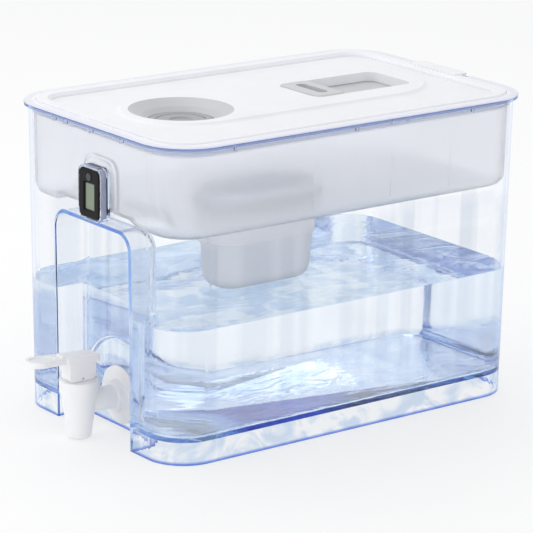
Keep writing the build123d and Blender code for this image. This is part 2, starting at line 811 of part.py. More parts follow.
with BuildPart() as lid:
    add(lid_plate(0, mouth_bottom, lid_top))
    fillet(lid.edges().group_by(Axis.Z)[-1], lid_edge_round)
    # Sunken panel inside the raised rim, and the hollow under the rim
    add(lid_plate(lid_rim, lid_panel_top, lid_top, lid_step_slope), mode=Mode.SUBTRACT)
    fillet(level_edges(lid, lid_panel_top), lid_foot_round)
    inner_rim = lid_width / 2 - lid_edge_round - level
    fillet(
        [edge for edge in level_edges(lid, lid_top) if edge.bounding_box().max.X < inner_rim], lid_step_round
    )
    add(lid_plate(lid_sheet, mouth_bottom, lid_top - lid_sheet), mode=Mode.SUBTRACT)
    add(lid_plate(lid_rim - lid_sheet, rail_top, lid_panel_top))
    with BuildSketch(Plane.XY.offset(rail_top)):
        RectangleRounded(
            lid_width - 2 * (lid_rim - lid_sheet),
            lid_length - 2 * (lid_rim - lid_sheet),
            lid_corner - lid_rim + lid_sheet,
        )
        RectangleRounded(
            lid_width - 2 * lid_rim, lid_length - 2 * lid_rim, lid_corner - lid_rim, mode=Mode.SUBTRACT
        )
    extrude(amount=lid_top - lid_sheet - rail_top)
    # Skirt that reaches down inside the reservoir's mouth
    with BuildSketch(Plane.XY.offset(skirt_bottom)):
        RectangleRounded(*plan(mouth_bottom - bead_height, skirt_inset))
        RectangleRounded(*plan(mouth_bottom - bead_height, skirt_inset + skirt_thickness), mode=Mode.SUBTRACT)
    extrude(amount=lid_top - lid_sheet - skirt_bottom)
    # Plateau down the middle of the panel, hollow beneath
    with BuildSketch(Plane.XY.offset(lid_panel_top)):
        plateau_sketch(0)
    extrude(amount=plateau_rise, taper=plateau_slope)
    fillet(level_edges(lid, plateau_top), plateau_round)
    plateau_foot = [
        edge
        for edge in level_edges(lid, lid_panel_top)
        if abs(edge.center().X) < plateau_half_width + level
        and plateau_front - level < edge.center().Y < plateau_back + level
    ]
    fillet(plateau_foot, plateau_foot_round)
    with BuildSketch(Plane.XY.offset(rail_top)):
        plateau_sketch(lid_sheet)
    extrude(amount=plateau_rise, taper=plateau_slope, mode=Mode.SUBTRACT)
    # Walls of the round port and of the refill tray
    with BuildSketch(Plane.XY.offset(port_floor)):
        with Locations((0, port_y)):
            Circle(port_throat_radius + port_wall)
    extrude(amount=plateau_top - lid_sheet - port_floor)
    with BuildSketch(Plane.XY.offset(port_throat_bottom - port_wall)):
        with Locations((0, port_y)):
            Circle(port_throat_radius + port_wall)
    extrude(amount=port_throat_depth, taper=-port_throat_slope)
    with BuildSketch(Plane.XY.offset(port_mouth_bottom - port_wall)):
        with Locations((0, port_y)):
            Circle(port_radius + port_wall)
    extrude(amount=port_mouth_depth, taper=-port_mouth_slope)
    with BuildSketch(Plane.XY.offset(tray_floor)):
        tray_sketch(tray_wall)
    extrude(amount=plateau_top - lid_sheet - tray_floor)
    # Rails that carry the refill door, from the tray's front to the skirt, and a stop in each
    rail_end = half_length(mouth_bottom - bead_height, skirt_inset)
    door_stop = tray_back + door_end_overlap + door_travel + door_gap
    for side in (-1, 1):
        with BuildSketch(Plane.XZ.offset(-tray_front)):
            with Locations((side * (rail_inner + rail_thickness / 2), rail_bottom)):
                Rectangle(rail_thickness, rail_top - rail_bottom, align=(Align.CENTER, Align.MIN))
            with Locations((side * (rail_inner - rail_lip / 2), rail_bottom)):
                Rectangle(rail_lip, rail_thickness, align=(Align.CENTER, Align.MIN))
        extrude(amount=tray_front - rail_end)
        with BuildSketch(Plane.XZ.offset(-door_stop)):
            with Locations((side * (rail_inner - rail_lip / 2), rail_bottom)):
                Rectangle(rail_lip, rail_top - rail_bottom, align=(Align.CENTER, Align.MIN))
        extrude(amount=door_stop - rail_end)
    # Port: a dished mouth, a narrowing throat and a ledge for the cap
    with BuildSketch(Plane.XY.offset(plateau_top)):
        with Locations((0, port_y)):
            Circle(port_mouth_radius)
    extrude(amount=-port_mouth_depth, taper=port_mouth_slope, mode=Mode.SUBTRACT)
    with BuildSketch(Plane.XY.offset(port_mouth_bottom)):
        with Locations((0, port_y)):
            Circle(port_radius)
    extrude(amount=-port_throat_depth, taper=port_throat_slope, mode=Mode.SUBTRACT)
    with BuildSketch(Plane.XY.offset(port_ledge_top)):
        with Locations((0, port_y)):
            Circle(port_throat_radius)
    extrude(amount=port_mouth_bottom - port_ledge_top, mode=Mode.SUBTRACT)
    with BuildSketch(Plane.XY.offset(port_floor)):
        with Locations((0, port_y)):
            Circle(port_throat_radius - port_ledge_width)
    extrude(amount=port_mouth_bottom - port_floor, mode=Mode.SUBTRACT)
    fillet(level_edges(lid, port_mouth_bottom), port_edge_round)
    # Opening of the tray
    with BuildSketch(Plane.XY.offset(tray_floor)):
        tray_sketch(0)
    extrude(amount=2 * tray_depth, mode=Mode.SUBTRACT)
    # Lifting tab over the reservoir's notch
    lid_back = lid_length / 2
    with BuildSketch(Plane.XY.offset(tab_top - tab_thickness)):
        with Locations((0, lid_back - lid_rim / 2)):
            Rectangle(2 * tab_half_width, lid_rim / 2 + tab_reach, align=(Align.CENTER, Align.MIN))
        tab_corners = vertices().group_by(Axis.Y)[-1]
        fillet(tab_corners, tab_corner)
    extrude(amount=tab_thickness)

finish(lid.part, "lid")

# Refill door: a panel in the rails, with a raised grip at its front
with BuildPart() as refill_door:
    door_front = tray_front - door_end_overlap
    door_length = tray_length + 2 * door_end_overlap
    with BuildSketch(Plane.XY.offset(door_bottom)):
        with Locations((0, door_front)):
            Rectangle(2 * door_half_width, door_length, align=(Align.CENTER, Align.MIN))
    extrude(amount=door_sheet)
    grip_half_width = tray_half_width - grip_gap
    grip_top = plateau_top + grip_rise
    grip_middle = grip_front + grip_length / 2
    with BuildSketch(Plane.XY.offset(door_top)):
        with Locations((0, grip_middle)):
            RectangleRounded(2 * grip_half_width, grip_length, grip_corner)
    extrude(amount=grip_top - door_top)
    fillet(refill_door.edges().group_by(Axis.Z)[-1], grip_round)
    with BuildSketch(Plane.XY.offset(grip_top)):
        with Locations((0, grip_middle)):
            SlotOverall(grip_slot_length, grip_slot_width)
    extrude(amount=-grip_slot_depth, mode=Mode.SUBTRACT)
    # Hollow under the grip
    with BuildSketch(Plane.XY.offset(door_bottom)):
        with Locations((0, grip_middle)):
            Rectangle(2 * (grip_half_width - grip_wall), grip_length - 2 * grip_wall - grip_corner)
    extrude(amount=grip_top - grip_slot_depth - grip_wall - door_bottom, mode=Mode.SUBTRACT)

finish(refill_door.part, "refill_door")

with BuildPart() as port_cap:
    port_cap_top = port_ledge_top + port_cap_thickness
    with BuildSketch(Plane.XY.offset(port_ledge_top)):
        with Locations((0, port_y)):
            Circle(port_throat_radius - port_cap_gap)
    extrude(amount=port_cap_thickness)
    fillet(port_cap.edges().group_by(Axis.Z)[-1], port_cap_groove_depth)
    with BuildSketch(Plane.XY.offset(port_cap_top)):
        with Locations((0, port_y)):
            Circle(port_cap_groove_radius + port_cap_groove_width / 2)
            Circle(port_cap_groove_radius - port_cap_groove_width / 2, mode=Mode.SUBTRACT)
    extrude(amount=-port_cap_groove_depth, mode=Mode.SUBTRACT)
    with BuildSketch(Plane.XY.offset(port_cap_top)):
        with Locations((0, port_y)):
            Circle(port_cap_dimple_radius)
    extrude(amount=-port_cap_dimple_depth, taper=pocket_slope, mode=Mode.SUBTRACT)

finish(port_cap.part, "port_cap")


# ---- Tap --------------------------------------------------------------------------------
def spigot_plane(y):
    """Upright plane at a y whose origin is on the spigot's axis and whose normal is +Y."""
    return Plane(origin=(0, y, tap_height), x_dir=(-1, 0, 0), z_dir=(0, 1, 0))


def barrel_plane(z):
    """Level plane at a height whose origin is on the valve's axis."""
    return Plane(origin=(0, tap_y, z))


gasket_front = tap_wall - tap_gasket_thickness
wall_back = tap_wall + wall
nut_front = wall_back + tap_gasket_thickness
flange_front = gasket_front - tap_flange_dish
collar_front = flange_front - tap_collar_length

for gasket_name, gasket_place in (("outer_gasket", gasket_front), ("inner_gasket", wall_back)):
    with BuildPart() as tap_gasket:
        with BuildSketch(spigot_plane(gasket_place)):
            Circle(tap_gasket_radius)
            Circle(spigot_radius + spigot_gap, mode=Mode.SUBTRACT)
        extrude(amount=tap_gasket_thickness)
    finish(tap_gasket.part, gasket_name)

with BuildPart() as tap_nut:
    with BuildSketch(spigot_plane(nut_front)):
        RegularPolygon(tap_nut_across / 2, 6, major_radius=False)
        Circle(spigot_radius + spigot_gap, mode=Mode.SUBTRACT)
    extrude(amount=tap_nut_height)
    chamfer(tap_nut.edges().group_by(Axis.Y)[-1].filter_by(GeomType.LINE), thread_depth)

finish(tap_nut.part, "tap_nut")

with BuildPart() as tap_body:
    # Barrel and nozzle
    with BuildSketch(Plane.YZ):
        with BuildLine():
            Polyline(
                (tap_y, barrel_bottom),
                (tap_y + barrel_bottom_radius, barrel_bottom),
                (tap_y + barrel_top_radius, barrel_top),
                (tap_y + barrel_neck_radius, barrel_top),
                (tap_y + barrel_neck_radius, barrel_neck_top),
                (tap_y, barrel_neck_top),
                close=True,
            )
        make_face()
    revolve(axis=Axis((0, tap_y, 0), (0, 0, 1)))
    # Spigot, dished flange, collar and tube about the level axis
    with BuildSketch(Plane.YZ):
        with BuildLine():
            Polyline(
                (spigot_end, tap_height),
                (spigot_end, tap_height + spigot_radius),
                (gasket_front, tap_height + spigot_radius),
                (gasket_front, tap_height + tap_flange_radius),
                (gasket_front - tap_flange_edge, tap_height + tap_flange_radius),
            )
            Spline(
                (gasket_front - tap_flange_edge, tap_height + tap_flange_radius),
                (flange_front, tap_height + tap_collar_radius),
                tangents=((-1, -3), (-1, 0)),
            )
            Polyline(
                (flange_front, tap_height + tap_collar_radius),
                (collar_front, tap_height + tap_collar_radius),
                (collar_front, tap_height + tap_tube_radius),
                (tap_y, tap_height + tap_tube_radius),
                (tap_y, tap_height),
                (spigot_end, tap_height),
            )
        make_face()
    revolve(axis=Axis((0, 0, tap_height), (0, 1, 0)))
    # Thread on the spigot, as plain rings
    with BuildSketch(Plane.YZ):
        for turn in range(thread_turns):
            with Locations((spigot_end - thread_pitch * (turn + 1), tap_height + spigot_radius)):
                Rectangle(thread_pitch / 2, 2 * thread_depth)
    revolve(axis=Axis((0, 0, tap_height), (0, 1, 0)), mode=Mode.SUBTRACT)
    fillet(tap_body.edges().filter_by(GeomType.CIRCLE).group_by(Axis.Z)[0], nozzle_edge_round)
    # Waterway: spigot, chamber, seat and nozzle
    with BuildSketch(spigot_plane(tap_y)):
        Circle(spigot_bore)
    extrude(amount=spigot_end - tap_y, mode=Mode.SUBTRACT)
    with BuildSketch(barrel_plane(seat_height)):
        Circle(chamber_radius)
    extrude(amount=barrel_neck_top - seat_height, mode=Mode.SUBTRACT)
    with BuildSketch(barrel_plane(seat_height - seat_thickness)):
        Circle(seat_bore)
    extrude(amount=seat_thickness, mode=Mode.SUBTRACT)
    with BuildSketch(barrel_plane(barrel_bottom)):
        Circle(nozzle_bore)
    extrude(amount=seat_height - seat_thickness - barrel_bottom, mode=Mode.SUBTRACT)

finish(tap_body.part, "tap_body")

with BuildPart() as tap_bonnet:
    with BuildSketch(Plane.YZ):
        with BuildLine():
            Polyline(
                (tap_y, bonnet_plate_bottom),
                (tap_y + barrel_neck_radius + bonnet_gap, bonnet_plate_bottom),
                (tap_y + barrel_neck_radius + bonnet_gap, barrel_top),
                (tap_y + bonnet_foot_radius, barrel_top),
                (tap_y + bonnet_top_radius, bonnet_top),
                (tap_y + bonnet_top_radius - bonnet_rim, bonnet_top),
                (tap_y + bonnet_top_radius - bonnet_rim, bonnet_plate_top),
                (tap_y, bonnet_plate_top),
                close=True,
            )
        make_face()
    revolve(axis=Axis((0, tap_y, 0), (0, 0, 1)))
    fillet(tap_bonnet.edges().filter_by(GeomType.CIRCLE).group_by(Axis.Z)[-1], bonnet_round)
    with BuildSketch(barrel_plane(bonnet_plate_bottom)):
        Circle(stem_radius + stem_gap)
    extrude(amount=bonnet_plate_thickness, mode=Mode.SUBTRACT)

finish(tap_bonnet.part, "tap_bonnet")

# Valve: a soft plug on a stem, held down by a spring and lifted by the lever's pin
pin_z = bonnet_plate_top + pin_height
plug_top = seat_height + plug_height
shoulder_top = plug_top + 2 * spring_wire
rock_arm = hub_length / 2 - hub_corner + hub_corner * math.radians(rock_angle) / 2
rock_sine = math.sin(math.radians(rock_angle))
rock_cosine = math.cos(math.radians(rock_angle))
pin_shift = rock_arm * (1 - rock_cosine) + pin_height * rock_sine
head_half_width = hub_slot_width / 2 - head_clearance
slot_reach = pin_radius + pin_shift + pin_play
head_bottom = bonnet_plate_top + head_lift
head_top = pin_z + pin_radius + pin_gap + head_wall

with BuildPart() as valve_plug:
    with BuildSketch(barrel_plane(seat_height)):
        Circle(plug_radius)
    extrude(amount=plug_height)
    with BuildSketch(barrel_plane(seat_height)):
        Circle(seat_bore - bonnet_gap * 2)
    extrude(amount=-plug_cone, taper=lid_step_slope)
    with BuildSketch(barrel_plane(plug_top - plug_socket_depth)):
        Circle(stem_radius)
    extrude(amount=plug_socket_depth, mode=Mode.SUBTRACT)

finish(valve_plug.part, "valve_plug")

with BuildPart() as valve_stem:
    with BuildSketch(barrel_plane(plug_top - plug_socket_depth)):
        Circle(stem_radius)
    extrude(amount=head_bottom - plug_top + plug_socket_depth)
    # Shoulder that the spring bears on
    with BuildSketch(barrel_plane(plug_top)):
        Circle(plug_radius - spring_wire)
    extrude(amount=shoulder_top - plug_top)
    # Head with a slot for the lever's pin, which moves forwards as the lever rocks
    with BuildSketch(Plane.YZ):
        with Locations((tap_y, head_bottom)):
            Rectangle(slot_reach + head_wall, head_top - head_bottom, align=(Align.MAX, Align.MIN))
            Rectangle(stem_radius, head_top - head_bottom, align=(Align.MIN, Align.MIN))
        with Locations((tap_y - slot_reach, pin_z)):
            Rectangle(
                slot_reach + pin_radius + pin_play,
                2 * (pin_radius + pin_gap),
                align=(Align.MIN, Align.CENTER),
                mode=Mode.SUBTRACT,
            )
    extrude(amount=head_half_width, both=True)

finish(valve_stem.part, "valve_stem")

spring_height = bonnet_plate_bottom - shoulder_top

with BuildPart() as valve_spring:
    with BuildLine():
        coil = Helix(
            pitch=(spring_height - 2 * spring_wire) / spring_turns,
            height=spring_height - 2 * spring_wire,
            radius=spring_radius,
            center=(0, tap_y, shoulder_top + spring_wire),
        )
    with BuildSketch(Plane(origin=coil @ 0, z_dir=coil % 0)):
        Circle(spring_wire)
    sweep(is_frenet=True)

finish(valve_spring.part, "valve_spring")

# Lever: paddle, shoulder and hub
hub_bottom = bonnet_plate_top + hub_lift
hub_top = lever_top - lever_thickness / 2
hub_slot_top = lever_top - lever_thickness
lever_lean = math.radians(lever_slope)
lever_up = (0, math.sin(lever_lean), math.cos(lever_lean))


def lever_plane(drop=0.0):
    """Plane at the lever's top or below it, which rises towards the tip; its Y is the back."""
    return Plane(origin=(0, tap_y, lever_top - drop), x_dir=(1, 0, 0), z_dir=lever_up)


with BuildPart() as lever_hub:
    with BuildSketch(Plane.YZ) as hub_outline:
        with Locations((tap_y, hub_bottom)):
            Rectangle(hub_length, hub_top - hub_bottom, align=(Align.CENTER, Align.MIN))
        fillet(hub_outline.vertices().group_by(Axis.Y)[0], hub_corner)
    extrude(amount=hub_width / 2, both=True)
    hub_sides = lever_hub.edges().group_by(Axis.X)
    fillet(hub_sides[0] + hub_sides[-1], hub_edge_round)

with BuildPart() as lever:
    # Paddle with a round tip, and the wider plate behind its shoulder
    with BuildSketch(lever_plane()):
        with Locations((0, -paddle_reach)):
            Circle(paddle_radius)
        with BuildLine():
            Polyline(
                (-paddle_neck / 2, -lever_shoulder),
                (paddle_neck / 2, -lever_shoulder),
                (paddle_radius, -paddle_reach),
                (-paddle_radius, -paddle_reach),
                close=True,
            )
        make_face()
    extrude(amount=-lever_thickness)
    lever_axis = Axis((0, tap_y, lever_top), lever_up)
    fillet(lever.edges().group_by(lever_axis)[0], paddle_round)
    fillet(lever.edges().group_by(lever_axis)[-1], lever_edge_round)
    with BuildSketch(lever_plane()):
        with Locations((0, (lever_rear_reach - lever_shoulder) / 2)):
            RectangleRounded(lever_rear_width, lever_rear_reach + lever_shoulder, lever_rear_corner)
    extrude(amount=-lever_thickness)
    # Shallow dish for the finger, and a low panel behind it
    with BuildSketch(lever_plane()):
        with Locations((0, -dish_reach)):
            Ellipse(dish_width / 2, dish_length / 2)
    extrude(amount=-dish_depth, mode=Mode.SUBTRACT)
    with BuildSketch(lever_plane()):
        with Locations((0, -lever_rear_reach / 2)):
            Rectangle(panel_width, panel_length)
    extrude(amount=panel_rise, taper=pocket_slope)
    # The hub, its slot around the stem, and the pin's hole
    add(lever_hub.part)
    with BuildSketch(barrel_plane(hub_bottom)):
        Rectangle(hub_slot_width, hub_slot_length)
    extrude(amount=hub_slot_top - hub_bottom, mode=Mode.SUBTRACT)
    with BuildSketch(Plane.YZ):
        with Locations((tap_y, pin_z)):
            Circle(pin_radius)
    extrude(amount=hub_width, both=True, mode=Mode.SUBTRACT)

finish(lever.part, "tap_lever")

with BuildPart() as lever_pin:
    with BuildSketch(Plane.YZ):
        with Locations((tap_y, pin_z)):
            Circle(pin_radius)
    extrude(amount=hub_width / 2 - pin_gap, both=True)

finish(lever_pin.part, "lever_pin")

print("rocking point y, z:", round(tap_y - rock_arm, 4), round(bonnet_plate_top, 4))
print("stem's rise at the limit:", round(rock_arm * rock_sine - pin_height * (1 - rock_cosine), 4))


# ---- Indicator --------------------------------------------------------------------------
def indicator_plane(y):
    """Upright plane at a y, facing -Y, whose origin is on the indicator's axis."""
    return Plane(origin=(indicator_x, y, indicator_z), x_dir=(1, 0, 0), z_dir=(0, -1, 0))


face_back = indicator_face_y + face_thickness
case_back = face_back + case_depth
board_front = indicator_face_y + board_setback
board_back = board_front + board_thickness
button_back = face_back + button_flange_gap + button_flange_thickness
switch_front = button_back + button_travel + switch_gap

with BuildPart() as indicator_holder:
    with BuildSketch(indicator_plane(holder_back)):
        RectangleRounded(holder_width, holder_height, holder_corner)
    extrude(amount=holder_depth)
    with BuildSketch(indicator_plane(holder_back - holder_wall)):
        RectangleRounded(
            indicator_width + 2 * holder_clearance,
            indicator_height + 2 * holder_clearance,
            indicator_corner + holder_clearance,
        )
    extrude(amount=holder_depth, mode=Mode.SUBTRACT)
    # Two low bars on the back wall, which the module's case stands against
    with BuildSketch(indicator_plane(holder_back - holder_wall)):
        with GridLocations(0, indicator_height - 2 * indicator_corner, 1, 2):
            Rectangle(indicator_width / 2, holder_foot_height)
    extrude(amount=holder_back - holder_wall - case_back)

finish(indicator_holder.part, "indicator_holder")

with BuildPart() as indicator_face:
    with BuildSketch(indicator_plane(face_back)):
        RectangleRounded(indicator_width, indicator_height, indicator_corner)
    extrude(amount=face_thickness)
    fillet(indicator_face.edges().group_by(Axis.Y)[0], face_round)
    # Window with a sloping frame
    with BuildSketch(indicator_plane(face_back)):
        with Locations((0, -window_drop)):
            Rectangle(window_width - 2 * window_bevel, window_height - 2 * window_bevel)
    extrude(amount=face_thickness, mode=Mode.SUBTRACT)
    window_edges = indicator_face.edges().group_by(Axis.Y)[0].filter_by(GeomType.LINE)
    chamfer(
        [
            edge
            for edge in window_edges
            if abs(edge.center().X - indicator_x) < window_width / 2
            and abs(edge.center().Z - indicator_z) < window_height / 2 + window_drop
        ],
        window_bevel,
    )
    # Shallow ring around the button, and the button's hole
    with BuildSketch(indicator_plane(indicator_face_y)):
        with Locations((0, button_rise)):
            Circle(button_ring_radius)
    extrude(amount=-button_ring_depth, mode=Mode.SUBTRACT)
    with BuildSketch(indicator_plane(face_back)):
        with Locations((0, button_rise)):
            Circle(button_radius + button_gap)
    extrude(amount=face_thickness, mode=Mode.SUBTRACT)

finish(indicator_face.part, "indicator_face")

with BuildPart() as indicator_case:
    with BuildSketch(indicator_plane(case_back)):
        RectangleRounded(indicator_width, indicator_height, indicator_corner)
    extrude(amount=case_depth)
    fillet(indicator_case.edges().group_by(Axis.Y)[-1], face_round)
    with BuildSketch(indicator_plane(case_back - case_wall)):
        RectangleRounded(
            indicator_width - 2 * case_wall, indicator_height - 2 * case_wall, indicator_corner - case_wall
        )
    extrude(amount=case_depth, mode=Mode.SUBTRACT)
    # Round battery opening with a ledge for its cover
    with BuildSketch(indicator_plane(case_back)):
        Circle(cover_radius)
    extrude(amount=cover_thickness, mode=Mode.SUBTRACT)
    with BuildSketch(indicator_plane(case_back)):
        Circle(cover_radius - cover_ledge)
    extrude(amount=case_wall, mode=Mode.SUBTRACT)

finish(indicator_case.part, "indicator_case")

with BuildPart() as battery_cover:
    with BuildSketch(indicator_plane(case_back)):
        Circle(cover_radius - cover_gap)
    extrude(amount=cover_thickness)
    # Slot for a coin
    with BuildSketch(indicator_plane(case_back)):
        SlotOverall(cover_radius, coin_slot_width)
    extrude(amount=coin_slot_depth, mode=Mode.SUBTRACT)

finish(battery_cover.part, "battery_cover")

with BuildPart() as display:
    with BuildSketch(indicator_plane(board_front)):
        with Locations((0, -window_drop)):
            Rectangle(display_width, display_height)
    extrude(amount=board_front - face_back)

finish(display.part, "display")

with BuildPart() as circuit_board:
    with BuildSketch(indicator_plane(board_back)):
        RectangleRounded(
            indicator_width - 2 * (case_wall + board_margin),
            indicator_height - 2 * (case_wall + board_margin),
            indicator_corner - case_wall - board_margin,
        )
    extrude(amount=board_thickness)

finish(circuit_board.part, "circuit_board")

with BuildPart() as button_switch:
    with BuildSketch(indicator_plane(board_front)):
        with Locations((0, button_rise)):
            Rectangle(switch_size, switch_size)
    extrude(amount=board_front - switch_front)

finish(button_switch.part, "button_switch")

with BuildPart() as indicator_button:
    with BuildSketch(indicator_plane(button_back)):
        with Locations((0, button_rise)):
            Circle(button_radius)
    extrude(amount=button_back - indicator_face_y + button_proud)
    fillet(indicator_button.edges().group_by(Axis.Y)[0], button_round)
    # Flange behind the face, which keeps the button in
    with BuildSketch(indicator_plane(button_back)):
        with Locations((0, button_rise)):
            Circle(button_radius + button_flange)
    extrude(amount=button_flange_thickness)

finish(indicator_button.part, "indicator_button")

with BuildPart() as coin_cell:
    with BuildSketch(indicator_plane(board_back + clip_thickness + cell_thickness)):
        Circle(cell_radius)
    extrude(amount=cell_thickness)
    fillet(coin_cell.edges().group_by(Axis.Y)[-1], cell_round)

finish(coin_cell.part, "coin_cell")

with BuildPart() as battery_clip:
    clip_half_length = cell_radius + clip_gap + clip_thickness
    with BuildSketch(indicator_plane(board_back + clip_thickness + cell_thickness)):
        Rectangle(2 * clip_half_length, clip_width)
    extrude(amount=clip_thickness + cell_thickness)
    with BuildSketch(indicator_plane(board_back + clip_thickness + cell_thickness)):
        Rectangle(2 * (clip_half_length - clip_thickness), clip_width)
    extrude(amount=cell_thickness, mode=Mode.SUBTRACT)

finish(battery_clip.part, "battery_clip")
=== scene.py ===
import math

import bmesh
import bpy
from mathutils import Matrix, Vector


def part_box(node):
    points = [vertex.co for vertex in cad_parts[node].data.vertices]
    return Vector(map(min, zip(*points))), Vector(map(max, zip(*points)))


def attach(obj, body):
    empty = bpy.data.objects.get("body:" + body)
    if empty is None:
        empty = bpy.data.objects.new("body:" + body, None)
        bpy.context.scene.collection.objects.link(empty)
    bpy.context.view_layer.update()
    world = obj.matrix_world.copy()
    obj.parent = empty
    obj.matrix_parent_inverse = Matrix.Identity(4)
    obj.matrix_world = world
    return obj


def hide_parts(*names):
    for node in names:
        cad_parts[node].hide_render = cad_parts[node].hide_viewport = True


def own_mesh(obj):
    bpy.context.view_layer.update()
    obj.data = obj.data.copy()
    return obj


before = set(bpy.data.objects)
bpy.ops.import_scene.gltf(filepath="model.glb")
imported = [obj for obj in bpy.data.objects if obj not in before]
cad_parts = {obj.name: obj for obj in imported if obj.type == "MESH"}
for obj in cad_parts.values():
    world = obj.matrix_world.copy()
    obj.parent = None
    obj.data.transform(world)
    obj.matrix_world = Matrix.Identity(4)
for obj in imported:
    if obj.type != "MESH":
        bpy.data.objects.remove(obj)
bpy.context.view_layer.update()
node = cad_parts
scene = bpy.context.scene
scene.view_settings.view_transform = "Standard"

# ---- Camera -----------------------------------------------------------------------------
# A long lens that stands off the tap's end and one long side, a little above the lid.
# It is rolled by less than a degree.
view_azimuth = math.radians(52.643)
view_elevation = math.radians(15.928)
view_roll = math.radians(0.875)
view_distance = 2.386969
aim_right = -0.00197
aim_up = 0.104311

towards_camera = Vector((
    math.sin(view_azimuth) * math.cos(view_elevation),
    -math.cos(view_azimuth) * math.cos(view_elevation),
    math.sin(view_elevation),
))
level_right = Vector((math.cos(view_azimuth), math.sin(view_azimuth), 0))
level_up = towards_camera.cross(level_right)
camera_right = level_right * math.cos(view_roll) + level_up * math.sin(view_roll)
camera_up = level_up * math.cos(view_roll) - level_right * math.sin(view_roll)

camera_data = bpy.data.cameras.new("camera")
camera_data.sensor_width = 36.0
camera_data.lens = 196.64
camera = bpy.data.objects.new("camera", camera_data)
scene.collection.objects.link(camera)
place = Matrix((camera_right, camera_up, towards_camera)).transposed().to_4x4()
place.translation = camera_right * aim_right + camera_up * aim_up + towards_camera * view_distance
camera.matrix_world = place
scene.camera = camera

# Rays pass many clear walls before they leave the tank and the water, and a ray that runs
# along inside a wall is turned back by its skins again and again.
ray_turns = 128
scene.cycles.max_bounces = ray_turns
scene.cycles.transmission_bounces = ray_turns
scene.cycles.glossy_bounces = ray_turns
scene.cycles.transparent_max_bounces = ray_turns
scene.cycles.diffuse_bounces = 16

# ---- Worktop and studio -----------------------------------------------------------------
# A plain white worktop that runs up into a white room, lit by one broad lamp overhead and
# two at the sides. The clear walls see the same white room, and grey flags to its left and
# right draw their edges.


def new_material(name):
    """A material with its node tree, its Principled shader and its output."""
    material = bpy.data.materials.new(name)
    material.use_nodes = True
    tree = material.node_tree
    return material, tree, tree.nodes["Principled BSDF"], tree.nodes["Material Output"]


def feed(tree, socket, value):
    """Gives a socket a value of its own, or links another socket to it."""
    if isinstance(value, bpy.types.NodeSocket):
        tree.links.new(value, socket)
    else:
        socket.default_value = value


def calculate(tree, operation, *values):
    """One step of arithmetic on sockets and numbers."""
    step = tree.nodes.new("ShaderNodeMath")
    step.operation = operation
    for socket, value in zip(step.inputs, values):
        feed(tree, socket, value)
    return step.outputs[0]


def color_steps(tree, value, *stops):
    """Colours that follow a value from stop to stop. A stop is a position and a colour."""
    ramp = tree.nodes.new("ShaderNodeValToRGB")
    elements = ramp.color_ramp.elements
    for element, (position, color) in zip(elements, (stops[0], stops[-1])):
        element.position = position
        element.color = (*color, 1)
    for position, color in stops[1:-1]:
        elements.new(position).color = (*color, 1)
    tree.links.new(value, ramp.inputs["Fac"])
    return ramp.outputs["Color"]


def share_surface(tree, share, first, second, output):
    """The second shader takes its share of the surface, and the first has the rest."""
    mix = tree.nodes.new("ShaderNodeMixShader")
    tree.links.new(share, mix.inputs["Fac"])
    tree.links.new(first.outputs[0], mix.inputs[1])
    tree.links.new(second.outputs[0], mix.inputs[2])
    tree.links.new(mix.outputs[0], output.inputs["Surface"])


room = bpy.data.worlds.new("white room")
scene.world = room
room.use_nodes = True
tree = room.node_tree
tree.nodes.clear()
ray = tree.nodes.new("ShaderNodeLightPath").outputs
seen_straight = calculate(tree, "MAXIMUM", ray["Is Camera Ray"], ray["Is Transmission Ray"])
seen = calculate(tree, "MAXIMUM", seen_straight, ray["Is Glossy Ray"])
soft_light = tree.nodes.new("ShaderNodeBackground")
soft_light.inputs["Color"].default_value = (0.975, 0.98, 1.0, 1)
soft_light.inputs["Strength"].default_value = 0.84
white_wall = tree.nodes.new("ShaderNodeBackground")
white_wall.inputs["Strength"].default_value = 1.0
direction = tree.nodes.new("ShaderNodeTexCoord")
turn = tree.nodes.new("ShaderNodeMapping")
turn.inputs["Rotation"].default_value = (0, 0, -view_azimuth)
tree.links.new(direction.outputs["Generated"], turn.inputs["Vector"])
apart = tree.nodes.new("ShaderNodeSeparateXYZ")
tree.links.new(turn.outputs["Vector"], apart.inputs[0])
sideways = calculate(tree, "ABSOLUTE", apart.outputs["X"])
flags = color_steps(
    tree, sideways,
    (0.74, (1, 1, 1)), (0.86, (0.90, 0.91, 0.94)), (0.89, (0.55, 0.58, 0.65)),
    (0.91, (1.0, 0.98, 0.96)), (1.0, (0.80, 0.81, 0.84)),
)
tree.links.new(flags, white_wall.inputs["Color"])
share_surface(tree, seen, soft_light, white_wall, tree.nodes.new("ShaderNodeOutputWorld"))


def lamp(name, size, power, place, target):
    """A square lamp that faces a point."""
    light = bpy.data.lights.new(name, "AREA")
    light.shape = "SQUARE"
    light.size = size
    light.energy = power
    holder = bpy.data.objects.new(name, light)
    scene.collection.objects.link(holder)
    holder.location = place
    holder.rotation_euler = (Vector(target) - Vector(place)).to_track_quat("-Z", "Y").to_euler()


lamp("overhead lamp", 1.0, 3.2, (-0.75, -0.05, 1.35), (0, 0, 0.1))
lamp("side lamp", 0.8, 4.6, (-0.5, -1.5, 0.8), (0, 0, 0.12))
lamp("long side lamp", 1.0, 3.0, (1.5, -0.1, 0.35), (0, 0, 0.15))

worktop_mesh = bpy.data.meshes.new("worktop")
reach = 3.0
worktop_mesh.from_pydata(
    [(-reach, -reach, 0), (reach, -reach, 0), (reach, reach, 0), (-reach, reach, 0)], [], [(0, 1, 2, 3)]
)
worktop = bpy.data.objects.new("worktop", worktop_mesh)
scene.collection.objects.link(worktop)
